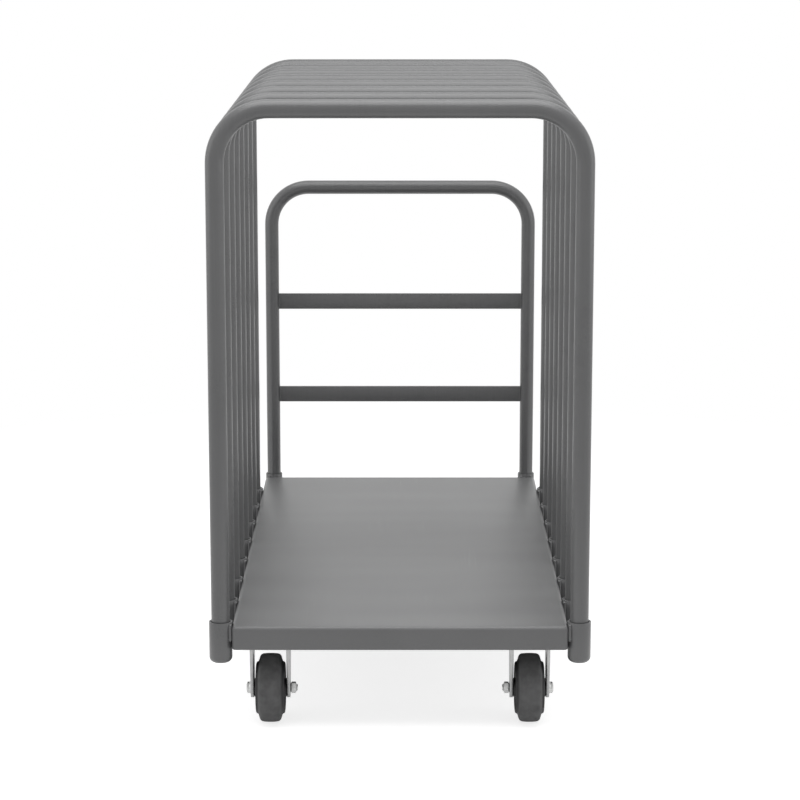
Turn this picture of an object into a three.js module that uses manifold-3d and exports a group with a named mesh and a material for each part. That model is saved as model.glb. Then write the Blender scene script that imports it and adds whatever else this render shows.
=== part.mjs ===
// A cart for sheet goods: a flat steel deck on two rigid and two swivel casters,
// with loose divider hoops standing in sockets along both sides and a loose push
// handle in two sockets at one end.
// Millimetres. X runs across the cart, Y from the open end to the handle, Z up from the floor.
import * as THREE from "three";
import { mergeVertices } from "three/addons/utils/BufferGeometryUtils.js";
import Module from "manifold-3d";

const wasm = await Module();
wasm.setup();

// Fits and facets
const fitGap = 0.3;
const weldOverlap = 0.5;
const cutMargin = 1;
const mergeReach = 1e-4;
const tubeFacets = 16;
const boreFacets = 8;
const bendSteps = 4;
const socketFacets = 12;
const wheelFacets = 20;
const boltFacets = 12;
const holeFacets = 8;
const cornerSteps = 1;
const forkEndSteps = 4;
const hexagonSides = 6;

// Deck pan, folded from sheet
const deckWidth = 609.6;
const deckLength = 1219.2;
const skirtHeight = 44.5;
const deckSheet = 2.7;
const deckBend = 7;
const skirtLip = 14;

// Divider hoops, bent from tube
const hoopPitch = 152.4;
const hoopTube = 33.4;
const hoopWall = 2.1;
const hoopBend = 96;
const hoopAboveDeck = 950;

// Sockets that hold the hoops
const socketOuter = 42.2;
const socketWall = 3.2;
const socketFloor = 6;
const socketRound = 10;
const socketLength = 76.2;
const socketAboveDeck = 5;

// Push handle, bent from tube, with two flat bars
const handleTube = 30;
const handleWall = 2.1;
const handleBend = 82.5;
const handleAboveDeck = 672;
const handleSocketOuter = 37;
const handleSocketWall = 2.5;
const handleBarHeight = 34.9;
const handleBarThickness = 6.4;
const upperBarTop = 418;
const lowerBarTop = 206;

// Wheels
const wheelRadius = 63.5;
const treadHalf = 18.2;
const shoulderHalf = 22.3;
const shoulderDepth = 14.8;
const beadHalf = 26.6;
const beadDepth = 16.6;
const tyreDepth = 21.5;
const rimThickness = 6.5;
const rimHalf = 24;
const webHalf = 6.5;
const hubRadius = 17.5;
const hubHalf = 29.8;

// Axles
const axleDiameter = 12.7;
const axleClearance = 0.35;
const hexAcrossFlats = 19;
const boltHeadHeight = 7.9;
const nutHeight = 10.9;
const boltEnd = 2.2;

// Caster forks, plates and swivels
const casterSideInset = 65.8;
const forkSheet = 6;
const forkShoulder = 10;
const forkHubGap = 0.7;
const forkEndRadius = 18.5;
const rigidForkHalf = 36;
const swivelForkHalf = 38;
const swivelTrail = 38;
const wheelHeadroom = 6.8;
const plateThickness = 6.4;
const plateWidth = 101.6;
const plateLength = 114.3;
const plateCorner = 8;
const boltSpacingX = 66.7;
const boltSpacingY = 92.1;
const boltHole = 10.4;
const raceHeight = 18.6;
const raceGap = 1;
const raceTaper = 4.65;
const upperRaceRadius = 31;
const lowerRaceRadius = 35;
const kingpinDiameter = 14;
const kingpinHeadRadius = 13;
const kingpinHeadHeight = 5;

// Channels under the deck
const channelSheet = 2.7;
const bolsterMargin = 20;
const bolsterWeb = 124;
const bolsterFlange = 12;
const bolsterDepth = 35.1;
const stiffenerWeb = 60;
const stiffenerFlange = 20;
const stiffenerDepth = 25;

// Levels above the floor
const forkCrownTop = 2 * wheelRadius + wheelHeadroom + forkSheet;
const plateBottom = forkCrownTop + raceHeight;
const casterHeight = plateBottom + plateThickness;
const bolsterBottom = casterHeight + fitGap;
const deckUnderside = bolsterBottom + bolsterDepth + fitGap;
const deckTop = deckUnderside + deckSheet;
const skirtBottom = deckTop - skirtHeight;
const socketTop = deckTop + socketAboveDeck;
const socketBottom = socketTop - socketLength;
const legBottom = socketBottom + socketFloor + fitGap;

// Places along and across the cart
const overallLength = deckLength + fitGap + handleSocketOuter;
const frontEnd = -overallLength / 2;
const rearEnd = frontEnd + deckLength;
const deckMiddle = (frontEnd + rearEnd) / 2;
const hoopCount = Math.floor((deckLength - socketOuter) / hoopPitch) + 1;
const bolsterInset = bolsterMargin + bolsterWeb / 2;
const casterX = deckWidth / 2 - casterSideInset;
const frontCasterY = frontEnd + bolsterInset;
const rearCasterY = rearEnd - bolsterInset;
const socketX = deckWidth / 2 + fitGap + socketOuter / 2;
const firstHoopY = frontEnd + socketOuter / 2;
const handleX = (deckWidth - handleSocketOuter) / 2;
const handleY = rearEnd + fitGap + handleSocketOuter / 2;
const forkHalf = hubHalf + forkHubGap + forkSheet;

// Finishes
const paintedSteel = new THREE.MeshStandardMaterial({ color: 0x74767a, roughness: 0.6, metalness: 0.3 });
const zincSteel = new THREE.MeshStandardMaterial({ color: 0xb4b6b4, roughness: 0.35, metalness: 0.9 });
const blackCore = new THREE.MeshStandardMaterial({ color: 0x262626, roughness: 0.7, metalness: 0.2 });
const greyRubber = new THREE.MeshStandardMaterial({ color: 0x4a4b4d, roughness: 0.9, metalness: 0 });

const cart = new THREE.Group();
cart.name = "sheet_goods_cart";

// Adds one finished piece to the cart under its own name.
function addPiece(name, geometry, material, place = new THREE.Vector3()) {
  const mesh = new THREE.Mesh(geometry, material);
  mesh.name = name;
  mesh.position.copy(place);
  cart.add(mesh);
}

// Turns a closed geometry into a solid that can be joined, cut and intersected.
function solidOf(geometry) {
  const bare = geometry.clone();
  bare.deleteAttribute("normal");
  bare.deleteAttribute("uv");
  const merged = mergeVertices(bare, mergeReach);
  const vertProperties = new Float32Array(merged.attributes.position.array);
  const triVerts = new Uint32Array(merged.index.array);
  return new wasm.Manifold(new wasm.Mesh({ numProp: 3, vertProperties, triVerts }));
}

// Turns a solid back into a geometry.
function geometryOf(solid) {
  const mesh = solid.getMesh();
  const geometry = new THREE.BufferGeometry();
  geometry.setAttribute("position", new THREE.BufferAttribute(mesh.vertProperties, 3));
  geometry.setIndex(new THREE.BufferAttribute(mesh.triVerts, 1));
  return geometry;
}

// Extrudes an outline drawn in plan from one level to another.
function planExtrusion(outline, bottom, top, steps = cornerSteps) {
  const options = { depth: top - bottom, bevelEnabled: false, curveSegments: steps };
  return new THREE.ExtrudeGeometry(outline, options).translate(0, 0, bottom);
}

// Extrudes an outline drawn as X and Z, evenly to both sides of Y zero.
function frontExtrusion(outline, length, steps = cornerSteps) {
  return planExtrusion(outline, -length / 2, length / 2, steps).rotateX(Math.PI / 2);
}

// Extrudes an outline drawn as Y and Z, evenly to both sides of X zero.
function sideExtrusion(outline, length, steps = cornerSteps) {
  return frontExtrusion(outline, length, steps).rotateZ(Math.PI / 2);
}

// Turns a profile of radius and height points about the Z axis.
function turned(profile, facets) {
  const points = profile.map(([radius, height]) => new THREE.Vector2(radius, height));
  return new THREE.LatheGeometry(points, facets).rotateX(Math.PI / 2);
}

// A round pin or hole along Z, from one level to another.
function roundBar(radius, bottom, top, facets) {
  return turned([[0, bottom], [radius, bottom], [radius, top], [0, top]], facets);
}

// The centre line of a bent tube: a leg up, a bend, a cross run, a bend and a leg down.
// Its points fall only where the tube starts, ends or bends, so straight runs stay one facet long.
class HoopPath extends THREE.Curve {
  constructor(halfWidth, bottom, top, bend) {
    super();
    const shoulder = top - bend;
    this.stations = [new THREE.Vector3(-halfWidth, 0, bottom)];
    for (const side of [-1, 1]) {
      for (let step = 0; step <= bendSteps; step += 1) {
        const turn = (Math.PI / 2) * (side < 0 ? 1 - step / bendSteps : step / bendSteps);
        const x = side * (halfWidth - bend + bend * Math.sin(turn));
        this.stations.push(new THREE.Vector3(x, 0, shoulder + bend * Math.cos(turn)));
      }
    }
    this.stations.push(new THREE.Vector3(halfWidth, 0, bottom));
  }

  get steps() {
    return this.stations.length - 1;
  }

  getUtoTmapping(u) {
    return u;
  }

  getPoint(t, target = new THREE.Vector3()) {
    const place = t * this.steps;
    const start = Math.min(Math.floor(place), this.steps - 1);
    return target.lerpVectors(this.stations[start], this.stations[start + 1], place - start);
  }
}

// A circle of straight sides, as an outline or as a hole in one.
function facetedCircle(PathKind, radius, facets) {
  const circle = new PathKind();
  for (let side = 0; side < facets; side += 1) {
    const turn = (2 * Math.PI * side) / facets;
    const x = radius * Math.cos(turn);
    const y = radius * Math.sin(turn);
    if (side === 0) circle.moveTo(x, y);
    else circle.lineTo(x, y);
  }
  circle.closePath();
  return circle;
}

// A hollow tube bent into a hoop, open at the foot of each leg.
function bentTube(halfWidth, bottom, top, diameter, wall, bend) {
  const path = new HoopPath(halfWidth, bottom, top - diameter / 2, bend);
  const section = facetedCircle(THREE.Shape, diameter / 2, tubeFacets);
  section.holes.push(facetedCircle(THREE.Path, diameter / 2 - wall, boreFacets));
  return new THREE.ExtrudeGeometry(section, { steps: path.steps, extrudePath: path });
}

// A drawn cup with a rounded foot that holds the end of a tube leg.
function socketCup(outer, wall) {
  const radius = outer / 2;
  const inner = radius - wall;
  const profile = [
    [0, socketBottom],
    [radius - socketRound, socketBottom],
    [radius - socketRound * (1 - Math.SQRT1_2), socketBottom + socketRound * (1 - Math.SQRT1_2)],
    [radius, socketBottom + socketRound],
    [radius, socketTop],
    [inner, socketTop],
    [inner, socketBottom + socketFloor],
    [0, socketBottom + socketFloor],
  ];
  return turned(profile, socketFacets);
}

// An upright outline with rounded upper corners, drawn from its bottom edge.
function roundedTopOutline(width, bottom, top, radius) {
  const half = width / 2;
  const outline = new THREE.Shape();
  outline.moveTo(-half, bottom);
  outline.lineTo(half, bottom);
  outline.lineTo(half, top - radius);
  outline.absarc(half - radius, top - radius, radius, 0, Math.PI / 2, false);
  outline.lineTo(-half + radius, top);
  outline.absarc(-half + radius, top - radius, radius, Math.PI / 2, Math.PI, false);
  outline.closePath();
  return outline;
}

// A block whose four upper edges are rounded, as a pan folded over a form has them.
function foldedBlock(width, length, bottom, top, radius) {
  const across = solidOf(frontExtrusion(roundedTopOutline(width, bottom, top, radius), length));
  const along = solidOf(sideExtrusion(roundedTopOutline(length, bottom, top, radius), width));
  return across.intersect(along);
}

// The deck: one sheet folded down into a skirt on all four sides, with a lip folded in below.
function deckPan() {
  const innerWidth = deckWidth - 2 * deckSheet;
  const innerLength = deckLength - 2 * deckSheet;
  const lipTop = skirtBottom + deckSheet;
  const outside = foldedBlock(deckWidth, deckLength, skirtBottom, deckTop, deckBend);
  const inside = foldedBlock(innerWidth, innerLength, lipTop, deckUnderside, deckBend - deckSheet);
  const openWidth = deckWidth - 2 * skirtLip;
  const openLength = deckLength - 2 * skirtLip;
  const opening = new THREE.BoxGeometry(openWidth, openLength, skirtHeight);
  const hollow = inside.add(solidOf(opening.translate(0, 0, skirtBottom)));
  return geometryOf(outside.subtract(hollow));
}

// The section of a hat channel with its web below and two flanges above.
function hatOutline(web, flange, bottom, top) {
  const half = web / 2;
  const inner = half - channelSheet;
  const outer = half + flange;
  const corners = [
    [-half, bottom], [half, bottom], [half, top - channelSheet], [outer, top - channelSheet],
    [outer, top], [inner, top], [inner, bottom + channelSheet], [-inner, bottom + channelSheet],
    [-inner, top], [-outer, top], [-outer, top - channelSheet], [-half, top - channelSheet],
  ];
  return new THREE.Shape(corners.map(([x, y]) => new THREE.Vector2(x, y)));
}

// The four bolt holes of a caster plate, cut through whatever lies between two levels.
function plateHoles(bottom, top) {
  const hole = solidOf(roundBar(boltHole / 2, bottom - cutMargin, top + cutMargin, holeFacets));
  const holes = [];
  for (const sideX of [-1, 1]) {
    for (const sideY of [-1, 1]) {
      holes.push(hole.translate([(sideX * boltSpacingX) / 2, (sideY * boltSpacingY) / 2, 0]));
    }
  }
  return holes;
}

// A channel across the deck that the two casters of one end bolt to.
function casterBolster() {
  const length = deckWidth - 2 * skirtLip - 2 * fitGap;
  const section = hatOutline(bolsterWeb, bolsterFlange, bolsterBottom, bolsterBottom + bolsterDepth);
  let bolster = solidOf(sideExtrusion(section, length));
  for (const side of [-1, 1]) {
    for (const hole of plateHoles(bolsterBottom, bolsterBottom + channelSheet)) {
      bolster = bolster.subtract(hole.translate([side * casterX, 0, 0]));
    }
  }
  return geometryOf(bolster);
}

// A shallow channel along the middle of the deck, between the two bolsters.
function deckStiffener() {
  const bolsterEdge = bolsterInset + bolsterWeb / 2 + bolsterFlange;
  const length = deckLength - 2 * bolsterEdge - 2 * fitGap;
  const top = deckUnderside - fitGap;
  const section = hatOutline(stiffenerWeb, stiffenerFlange, top - stiffenerDepth, top);
  return frontExtrusion(section, length);
}

// A rounded rectangle in plan.
function roundedRectangle(width, length, radius) {
  const halfWidth = width / 2;
  const halfLength = length / 2;
  const outline = new THREE.Shape();
  outline.moveTo(-halfWidth + radius, -halfLength);
  outline.lineTo(halfWidth - radius, -halfLength);
  outline.absarc(halfWidth - radius, -halfLength + radius, radius, -Math.PI / 2, 0, false);
  outline.lineTo(halfWidth, halfLength - radius);
  outline.absarc(halfWidth - radius, halfLength - radius, radius, 0, Math.PI / 2, false);
  outline.lineTo(-halfWidth + radius, halfLength);
  outline.absarc(-halfWidth + radius, halfLength - radius, radius, Math.PI / 2, Math.PI, false);
  outline.lineTo(-halfWidth, -halfLength + radius);
  outline.absarc(-halfWidth + radius, -halfLength + radius, radius, Math.PI, 1.5 * Math.PI, false);
  return outline;
}

// A caster's top plate with its bolt holes.
function topPlate() {
  const outline = roundedRectangle(plateWidth, plateLength, plateCorner);
  let plate = solidOf(planExtrusion(outline, plateBottom, casterHeight));
  for (const hole of plateHoles(plateBottom, casterHeight)) plate = plate.subtract(hole);
  return plate;
}

// An upside-down U of strip, seen from the front, that straddles the wheel.
function forkStrip(top) {
  const outline = roundedTopOutline(2 * forkHalf, 0, top, forkShoulder);
  const innerHalf = forkHalf - forkSheet;
  const innerTop = top - forkSheet;
  const innerRound = forkShoulder - forkSheet;
  const slot = roundedTopOutline(2 * innerHalf, -cutMargin, innerTop, innerRound);
  const length = 2 * (rigidForkHalf + swivelForkHalf + swivelTrail + forkEndRadius);
  const strip = solidOf(frontExtrusion(outline, length));
  return strip.subtract(solidOf(frontExtrusion(slot, length + cutMargin)));
}

// The angle at which a line from a point just touches the fork's round end.
function touchAngle(y, z, axleY, side) {
  const reach = Math.hypot(y - axleY, z - wheelRadius);
  const towards = Math.atan2(z - wheelRadius, y - axleY);
  return towards - side * Math.acos(forkEndRadius / reach);
}

// A fork leg seen from the side: wide at the crown, drawn in to a round end about the axle.
function forkSide(crownHalf, top, axleY) {
  const waist = top - forkShoulder;
  const rightAngle = touchAngle(crownHalf, waist, axleY, 1);
  const leftAngle = touchAngle(-crownHalf, waist, axleY, -1);
  const outline = new THREE.Shape();
  outline.moveTo(crownHalf, waist);
  outline.lineTo(crownHalf, top);
  outline.lineTo(-crownHalf, top);
  outline.lineTo(-crownHalf, waist);
  outline.absarc(axleY, wheelRadius, forkEndRadius, leftAngle, rightAngle + 2 * Math.PI, false);
  outline.closePath();
  return solidOf(sideExtrusion(outline, 2 * (forkHalf + cutMargin), forkEndSteps));
}

// A pressed fork with its axle hole.
function fork(crownHalf, top, axleY) {
  const radius = axleDiameter / 2 + axleClearance;
  const reach = forkHalf + cutMargin;
  const hole = roundBar(radius, -reach, reach, boltFacets).rotateY(Math.PI / 2);
  const axleHole = solidOf(hole.translate(0, axleY, wheelRadius));
  return forkStrip(top).intersect(forkSide(crownHalf, top, axleY)).subtract(axleHole);
}

// A round bore about the kingpin.
function kingpinBore(bottom, top) {
  const radius = kingpinDiameter / 2 + fitGap;
  return solidOf(roundBar(radius, bottom - cutMargin, top + cutMargin, boltFacets));
}

// A rigid caster's frame: its plate welded on the crown of its fork.
function rigidFrame() {
  return geometryOf(topPlate().add(fork(rigidForkHalf, plateBottom + weldOverlap, 0)));
}

// A swivel caster's top plate, with the upper half of the ball race under it.
function swivelPlate() {
  const raceMiddle = forkCrownTop + raceHeight / 2;
  const raceBottom = raceMiddle + raceGap / 2;
  const race = turned([
    [0, raceBottom],
    [upperRaceRadius - raceTaper, raceBottom],
    [upperRaceRadius, plateBottom],
    [upperRaceRadius, plateBottom + weldOverlap],
    [0, plateBottom + weldOverlap],
  ], wheelFacets);
  const bore = kingpinBore(raceBottom, casterHeight);
  return geometryOf(topPlate().add(solidOf(race)).subtract(bore));
}

// A swivel caster's fork, with the lower half of the ball race on its crown.
function swivelFork() {
  const raceTop = forkCrownTop + raceHeight / 2 - raceGap / 2;
  const race = turned([
    [0, forkCrownTop - weldOverlap],
    [lowerRaceRadius - raceTaper, forkCrownTop - weldOverlap],
    [lowerRaceRadius, raceTop - raceTaper],
    [lowerRaceRadius, raceTop],
    [0, raceTop],
  ], wheelFacets);
  const bore = kingpinBore(forkCrownTop - forkSheet, raceTop);
  const pressed = fork(swivelForkHalf, forkCrownTop, swivelTrail);
  return geometryOf(pressed.add(solidOf(race)).subtract(bore));
}

// The pin that holds a swivel fork up to its plate, with a head under the crown.
function kingpin() {
  const headTop = forkCrownTop - forkSheet - fitGap;
  const headBottom = headTop - kingpinHeadHeight;
  return turned([
    [0, headBottom],
    [kingpinHeadRadius - kingpinHeadHeight / 2, headBottom],
    [kingpinHeadRadius, headBottom + kingpinHeadHeight / 2],
    [kingpinHeadRadius, headTop],
    [kingpinDiameter / 2, headTop],
    [kingpinDiameter / 2, casterHeight],
    [0, casterHeight],
  ], boltFacets);
}

// Lays a piece that was turned about Z along X, through the axle's height, with a facet underneath.
function onAxle(geometry, facets) {
  return geometry.rotateZ(Math.PI / facets).rotateY(Math.PI / 2).translate(0, 0, wheelRadius);
}

// The radius of a facet's corners when its middle lies on the round.
function cornerRadius(radius) {
  return radius / Math.cos(Math.PI / wheelFacets);
}

// A moulded tyre with a narrow tread, sloping shoulders and a bead along each side.
function tyre() {
  const inner = wheelRadius - tyreDepth;
  const bead = wheelRadius - beadDepth;
  const shoulder = wheelRadius - shoulderDepth;
  const profile = [
    [inner, -beadHalf], [bead, -beadHalf], [shoulder, -shoulderHalf], [wheelRadius, -treadHalf],
    [wheelRadius, treadHalf], [shoulder, shoulderHalf], [bead, beadHalf], [inner, beadHalf],
    [inner, -beadHalf],
  ];
  const facets = profile.map(([radius, x]) => [cornerRadius(radius), x]);
  return onAxle(turned(facets, wheelFacets), wheelFacets);
}

// The wheel's core: hub, web and rim in one casting, bored for the axle.
function wheelCore() {
  const bore = axleDiameter / 2 + axleClearance;
  const rim = wheelRadius - tyreDepth - fitGap;
  const rimInner = rim - rimThickness;
  const profile = [
    [bore, -hubHalf], [hubRadius, -hubHalf], [hubRadius, -webHalf], [rimInner, -webHalf],
    [rimInner, -rimHalf], [rim, -rimHalf], [rim, rimHalf], [rimInner, rimHalf],
    [rimInner, webHalf], [hubRadius, webHalf], [hubRadius, hubHalf], [bore, hubHalf],
    [bore, -hubHalf],
  ];
  const facets = profile.map(([radius, x]) => [cornerRadius(radius), x]);
  return onAxle(turned(facets, wheelFacets), wheelFacets);
}

// A hexagon prism along Z, from one level to another.
function hexagon(bottom, top) {
  return roundBar(hexAcrossFlats / Math.sqrt(3), bottom, top, hexagonSides);
}

// An axle bolt with its hexagon head on the given side of the fork.
function axleBolt(side) {
  const headInner = forkHalf + fitGap;
  const head = solidOf(hexagon(headInner, headInner + boltHeadHeight));
  const tip = -forkHalf - fitGap - nutHeight - boltEnd;
  const shank = solidOf(roundBar(axleDiameter / 2, tip, headInner + boltHeadHeight / 2, boltFacets));
  return geometryOf(head.add(shank)).rotateY((side * Math.PI) / 2).translate(0, 0, wheelRadius);
}

// The nut on the other end of the axle bolt.
function axleNut(side) {
  const near = -forkHalf - fitGap;
  const far = near - nutHeight;
  const blank = solidOf(hexagon(far, near));
  const bore = roundBar(axleDiameter / 2 + fitGap, far - cutMargin, near + cutMargin, boltFacets);
  const nut = geometryOf(blank.subtract(solidOf(bore)));
  return nut.rotateY((side * Math.PI) / 2).translate(0, 0, wheelRadius);
}

// Deck and the channels under it
addPiece("deck_pan", deckPan(), paintedSteel, new THREE.Vector3(0, deckMiddle, 0));
addPiece("front_bolster", casterBolster(), paintedSteel, new THREE.Vector3(0, frontCasterY, 0));
addPiece("rear_bolster", casterBolster(), paintedSteel, new THREE.Vector3(0, rearCasterY, 0));
addPiece("deck_stiffener", deckStiffener(), paintedSteel, new THREE.Vector3(0, deckMiddle, 0));

const sides = [["left", -1], ["right", 1]];

// Divider hoops and their sockets
const hoopTop = deckTop + hoopAboveDeck;
for (let hoop = 0; hoop < hoopCount; hoop += 1) {
  const y = firstHoopY + hoop * hoopPitch;
  const tube = bentTube(socketX, legBottom, hoopTop, hoopTube, hoopWall, hoopBend);
  addPiece(`divider_hoop_${hoop + 1}`, tube, paintedSteel, new THREE.Vector3(0, y, 0));
  for (const [sideName, side] of sides) {
    const place = new THREE.Vector3(side * socketX, y, 0);
    addPiece(`hoop_socket_${sideName}_${hoop + 1}`, socketCup(socketOuter, socketWall), paintedSteel, place);
  }
}

// Push handle, its bars and its sockets
const handleTop = deckTop + handleAboveDeck;
const handlePlace = new THREE.Vector3(0, handleY, 0);
const handle = bentTube(handleX, legBottom, handleTop, handleTube, handleWall, handleBend);
addPiece("handle_tube", handle, paintedSteel, handlePlace);
const barLength = 2 * handleX - handleTube - 2 * fitGap;
for (const [barName, barTop] of [["upper", upperBarTop], ["lower", lowerBarTop]]) {
  const bar = new THREE.BoxGeometry(barLength, handleBarThickness, handleBarHeight);
  const level = deckTop + barTop - handleBarHeight / 2;
  addPiece(`handle_bar_${barName}`, bar.translate(0, 0, level), paintedSteel, handlePlace);
}
for (const [sideName, side] of sides) {
  const place = new THREE.Vector3(side * handleX, handleY, 0);
  addPiece(`handle_socket_${sideName}`, socketCup(handleSocketOuter, handleSocketWall), paintedSteel, place);
}

// Casters: rigid at the open end, swivel at the handle end
for (const [sideName, side] of sides) {
  const rigidPlace = new THREE.Vector3(side * casterX, frontCasterY, 0);
  const swivelPlace = new THREE.Vector3(side * casterX, rearCasterY, 0);
  const trailPlace = swivelPlace.clone().add(new THREE.Vector3(0, swivelTrail, 0));
  addPiece(`rigid_caster_frame_${sideName}`, rigidFrame(), zincSteel, rigidPlace);
  addPiece(`swivel_caster_plate_${sideName}`, swivelPlate(), zincSteel, swivelPlace);
  addPiece(`swivel_caster_fork_${sideName}`, swivelFork(), zincSteel, swivelPlace);
  addPiece(`swivel_kingpin_${sideName}`, kingpin(), zincSteel, swivelPlace);
  for (const [endName, place] of [["front", rigidPlace], ["rear", trailPlace]]) {
    addPiece(`tyre_${endName}_${sideName}`, tyre(), greyRubber, place);
    addPiece(`wheel_core_${endName}_${sideName}`, wheelCore(), blackCore, place);
    addPiece(`axle_bolt_${endName}_${sideName}`, axleBolt(side), zincSteel, place);
    addPiece(`axle_nut_${endName}_${sideName}`, axleNut(side), zincSteel, place);
  }
}

export default cart;
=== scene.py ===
"""A cart for sheet goods: its pieces, their finishes and a plain studio, as a Blender add-on.

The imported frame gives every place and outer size. The sizes below are the ones that the frame can't
give, such as walls, bends and small fasteners. Everything is in metres, with X across the cart,
Y from its open end to its handle and Z up from the floor.
"""

import math

import bmesh
import bpy
from bpy.props import FloatProperty, FloatVectorProperty, IntProperty, PointerProperty
from bpy.types import Operator, Panel, PropertyGroup
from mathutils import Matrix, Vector


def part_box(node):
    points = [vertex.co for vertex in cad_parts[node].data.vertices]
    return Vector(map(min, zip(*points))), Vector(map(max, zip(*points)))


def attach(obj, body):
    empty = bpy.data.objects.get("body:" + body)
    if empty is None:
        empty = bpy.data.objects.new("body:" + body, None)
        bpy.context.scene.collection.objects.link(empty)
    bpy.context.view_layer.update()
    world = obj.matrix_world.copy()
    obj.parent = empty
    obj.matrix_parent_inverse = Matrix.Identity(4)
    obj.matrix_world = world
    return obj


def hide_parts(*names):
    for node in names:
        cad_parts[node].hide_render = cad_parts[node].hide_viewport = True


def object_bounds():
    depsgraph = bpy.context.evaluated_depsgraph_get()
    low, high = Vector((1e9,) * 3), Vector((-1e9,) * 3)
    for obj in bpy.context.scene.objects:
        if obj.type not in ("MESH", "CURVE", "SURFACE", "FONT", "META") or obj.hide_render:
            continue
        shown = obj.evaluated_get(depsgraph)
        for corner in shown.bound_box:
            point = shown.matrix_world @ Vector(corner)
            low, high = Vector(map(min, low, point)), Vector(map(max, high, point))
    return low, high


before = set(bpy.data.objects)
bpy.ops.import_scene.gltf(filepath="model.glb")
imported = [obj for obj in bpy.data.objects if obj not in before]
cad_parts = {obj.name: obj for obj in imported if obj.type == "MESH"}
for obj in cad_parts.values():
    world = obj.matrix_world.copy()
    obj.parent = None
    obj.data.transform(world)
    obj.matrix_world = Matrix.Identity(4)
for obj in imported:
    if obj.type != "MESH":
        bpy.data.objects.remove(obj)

bl_info = {
    "name": "Sheet Goods Cart",
    "version": (1, 0, 0),
    "blender": (4, 5, 0),
    "location": "View3D > Sidebar > Cart",
    "description": "Models, finishes and stages a cart for sheet goods around its packed frame",
    "category": "Object",
}

# The frame and the cart's layout
CAD_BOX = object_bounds()
SIDES = {"left": -1, "right": 1}
PLATES = {"front": "rigid_caster_frame", "rear": "swivel_caster_plate"}
CORNERS = [(end, side) for end in PLATES for side in SIDES]
HOOPS = range(1, 1 + sum(name.startswith("divider_hoop_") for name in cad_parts))
BARS = ("upper", "lower")

# Axes, and the turns and ways that go with them
X = 0
Y = 1
BOTH_WAYS = (-1, 1)
UPRIGHT = (0, 0, 0)
ALONG_X = (0, math.pi / 2, 0)

# Limits: the same place, points that are one, and the cosine of an aligned direction
NEAR = 0.0002
MERGE = 0.00001
ALIGNED = 0.999

# Shading, rounding, and the length of a tool that cuts right through
SMOOTH_ANGLE = math.radians(38)
SOFTEN_ANGLE = math.radians(28)
SOFTEN_STEPS = 2
ROUND_STEPS = 3
TREAD_STEPS = 4
HEXAGON_SIDES = 6
THROUGH = 0.12

# Shaders: the coat's relief and shine, the middle of a noise, white, and a Mix node's colour sockets
COAT_DEPTH = 0.00022
COAT_SHINE = 0.62
HALF = 0.5
WHITE = (1, 1, 1, 1)
MIX_SHARE = 0
MIX_FIRST = 6
MIX_SECOND = 7
MIX_RESULT = 2


# Settings that a user would change

def length(name, description, default):
    """A length in metres."""
    return FloatProperty(
        name=name, description=description, default=default, min=0, unit="LENGTH", precision=4,
    )


def number(name, description, default, **kind):
    """A plain number, or an angle or a power where its kind says so."""
    return FloatProperty(name=name, description=description, default=default, min=0, **kind)


def count(name, description, default, least):
    """A whole number."""
    return IntProperty(name=name, description=description, default=default, min=least)


def colour(name, description, default):
    """A colour in linear light."""
    return FloatVectorProperty(
        name=name, description=description, default=default, min=0, max=1, subtype="COLOR",
    )


class CartSheetSizes(PropertyGroup):
    """Sizes of the tubes, sockets, folded sheet and welds."""

    tube_facets: count("Tube facets", "Facets round a tube", 40, 8)
    bend_steps: count("Bend steps", "Steps round a tube's bend", 18, 2)
    fold_steps: count("Fold steps", "Steps round a fold in sheet", 5, 1)
    edge: length("Edge", "Rounding of a cut edge", 0.0005)
    bar_edge: length("Bar edge", "Rounding of the handle bars' long edges", 0.001)
    deck_sheet: length("Deck sheet", "Thickness of the deck's sheet", 0.0027)
    deck_bend: length("Deck bend", "Outer radius of the folds round the deck's top", 0.007)
    lip_bend: length("Lip bend", "Outer radius of the folds under the skirt", 0.0034)
    # A painted highlight along the deck's long edges, over the painted light on its top, and how fast
    # it falls away down the fold
    edge_highlight: number("Edge wear", "Wear of the deck's long edges over that of its top", 3)
    edge_fall: count("Edge fall", "How fast that wear falls away down the fold", 4, 1)
    skirt_lip: length("Skirt lip", "Width of the lip under the skirt", 0.014)
    channel_sheet: length("Channel sheet", "Thickness of the channels under the deck", 0.0027)
    channel_bend: length("Channel bend", "Outer radius of a channel's folds", 0.004)
    bolster_flange: length("Bolster flange", "Width of each flange of a caster bolster", 0.012)
    stiffener_flange: length("Stiffener flange", "Width of each flange of the stiffener", 0.02)
    hoop_wall: length("Hoop wall", "Wall of the hoop tube", 0.0021)
    hoop_bend: length("Hoop bend", "Bend radius of a hoop, to the tube's middle", 0.096)
    handle_wall: length("Handle wall", "Wall of the handle tube", 0.0021)
    handle_bend: length("Handle bend", "Bend radius of the handle, to the tube's middle", 0.0825)
    hoop_socket_wall: length("Hoop socket wall", "Wall of a hoop socket", 0.0032)
    handle_socket_wall: length("Handle socket wall", "Wall of a handle socket", 0.0025)
    socket_floor: length("Socket floor", "Thickness of a socket's floor", 0.006)
    socket_round: length("Socket round", "Radius of a socket's foot", 0.01)
    socket_weld: length("Socket weld", "Space that a weld bead fills beside a socket", 0.0065)
    weld_overlap: number("Weld overlap", "Width of that bead over the space it fills", 1.15)
    weld_drop: length("Weld drop", "From the skirt's bottom up to a socket's weld", 0.0145)
    bar_weld: length("Bar weld", "Width of a weld bead at a handle bar's end", 0.0042)
    weld_facets: count("Weld facets", "Facets round a weld bead", 14, 6)
    weld_ripple: length("Weld ripple", "Pitch of the ripples on a weld bead", 0.0019)
    weld_groove: number("Weld groove", "Width of a bead between ripples over that on them", 0.93)
    weld_end: number("Weld end", "Width of a bead's ends over that between them", 0.6)


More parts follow.
